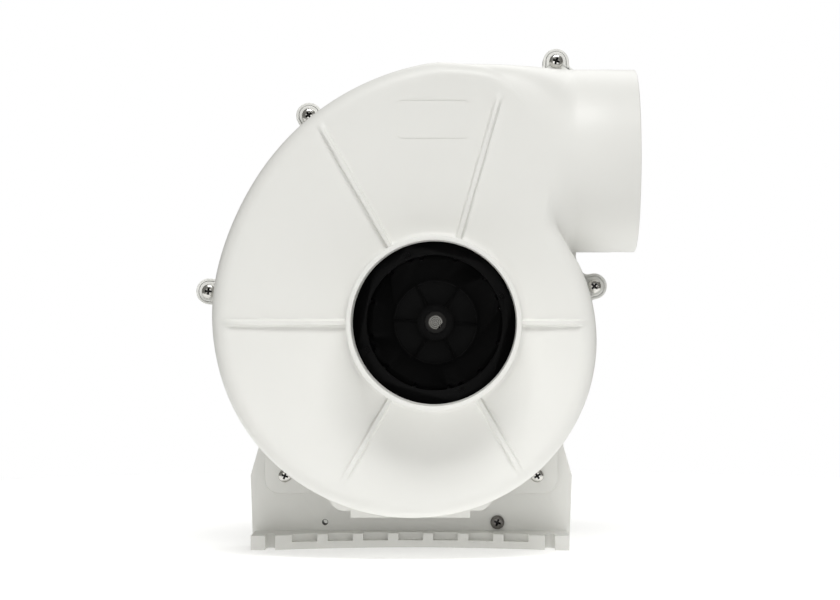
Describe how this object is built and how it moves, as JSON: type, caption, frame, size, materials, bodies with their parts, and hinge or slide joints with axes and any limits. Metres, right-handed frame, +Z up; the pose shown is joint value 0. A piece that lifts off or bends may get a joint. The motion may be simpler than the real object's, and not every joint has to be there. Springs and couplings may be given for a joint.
{
  "type": "centrifugal blower",
  "caption": "Flange-mounted centrifugal duct blower with a scroll casing, round inlet and outlet spigots, closed fan wheel and brushed DC motor on a slotted base.",
  "frame": {"origin": "middle of the base's underside", "axes": "+Z up, -Y out of the inlet spigot, +X out of the outlet spigot; the shaft lies along Y"},
  "size_m": [0.244, 0.2165, 0.2809],
  "materials": {
    "white_plastic": "moulded, satin gloss",
    "black_plastic": "moulded, satin",
    "stainless": "passivated",
    "dark_steel": "blackened",
    "zinc_plate": "zinc plated",
    "die_cast": "as cast",
    "bearing_steel": "ground",
    "brass": "stamped",
    "copper": "enamelled copper",
    "rubber": "matt",
    "phenolic": "pressed board",
    "carbon": "graphite",
    "ferrite": "sintered"
  },
  "bodies": {
    "casing": {"front_cover": "white_plastic", "rear_casing": "white_plastic", "mounting_bracket": "white_plastic", "motor_cover": "white_plastic", "casing_screws": "stainless", "flange_screws": "stainless", "cover_screws": "stainless", "motor_screws": "stainless", "bracket_screw": "dark_steel", "motor_gasket": "rubber", "lead_grommet": "rubber", "motor_can": "zinc_plate", "front_end_bell": "die_cast", "rear_end_bell": "die_cast", "through_bolts": "stainless", "field_magnets": "ferrite", "brush_card": "phenolic", "brush_holders": "brass", "terminal_tabs": "brass", "upper_brush_spring": "stainless", "lower_brush_spring": "stainless", "front_bearing_outer_ring": "bearing_steel", "rear_bearing_outer_ring": "bearing_steel", "wave_washer": "bearing_steel"},
    "rotor": {"shaft": "bearing_steel", "shaft_spacer": "zinc_plate", "armature_core": "dark_steel", "armature_windings": "copper", "commutator_hub": "phenolic", "commutator_bars": "copper", "wheel_hub_insert": "dark_steel", "fan_wheel": "black_plastic", "wheel_shroud": "black_plastic", "shroud_rivets": "black_plastic", "hub_grub_screw": "dark_steel", "front_bearing_inner_ring": "bearing_steel", "rear_bearing_inner_ring": "bearing_steel"},
    "front_ball_train": {"front_bearing_balls": "bearing_steel", "front_bearing_cage": "brass"},
    "rear_ball_train": {"rear_bearing_balls": "bearing_steel", "rear_bearing_cage": "brass"},
    "upper_brush_carrier": {"upper_brush": "carbon"},
    "lower_brush_carrier": {"lower_brush": "carbon"}
  },
  "joints": [
    {"name": "rotor_spin", "type": "hinge", "parent": "casing", "child": "rotor", "pos_m": [0.0144, 0, 0.1287], "axis": [0, 1, 0], "continuous": true},
    {"name": "front_cage_spin", "type": "hinge", "parent": "casing", "child": "front_ball_train", "pos_m": [0.0144, 0, 0.1287], "axis": [0, 1, 0], "continuous": true},
    {"name": "rear_cage_spin", "type": "hinge", "parent": "casing", "child": "rear_ball_train", "pos_m": [0.0144, 0, 0.1287], "axis": [0, 1, 0], "continuous": true},
    {"name": "upper_brush_slide", "type": "slide", "parent": "casing", "child": "upper_brush_carrier", "axis": [0, 0, 1], "range_m": [0, 0.005], "stiffness_N_per_m": 150, "springref_m": -0.004, "deforming": ["upper_brush_spring"]},
    {"name": "lower_brush_slide", "type": "slide", "parent": "casing", "child": "lower_brush_carrier", "axis": [0, 0, -1], "range_m": [0, 0.005], "stiffness_N_per_m": 150, "springref_m": -0.004, "deforming": ["lower_brush_spring"]}
  ],
  "couplings": [
    {"joint": "front_cage_spin", "follows": "rotor_spin", "ratio": 0.372},
    {"joint": "rear_cage_spin", "follows": "rotor_spin", "ratio": 0.372}
  ]
}
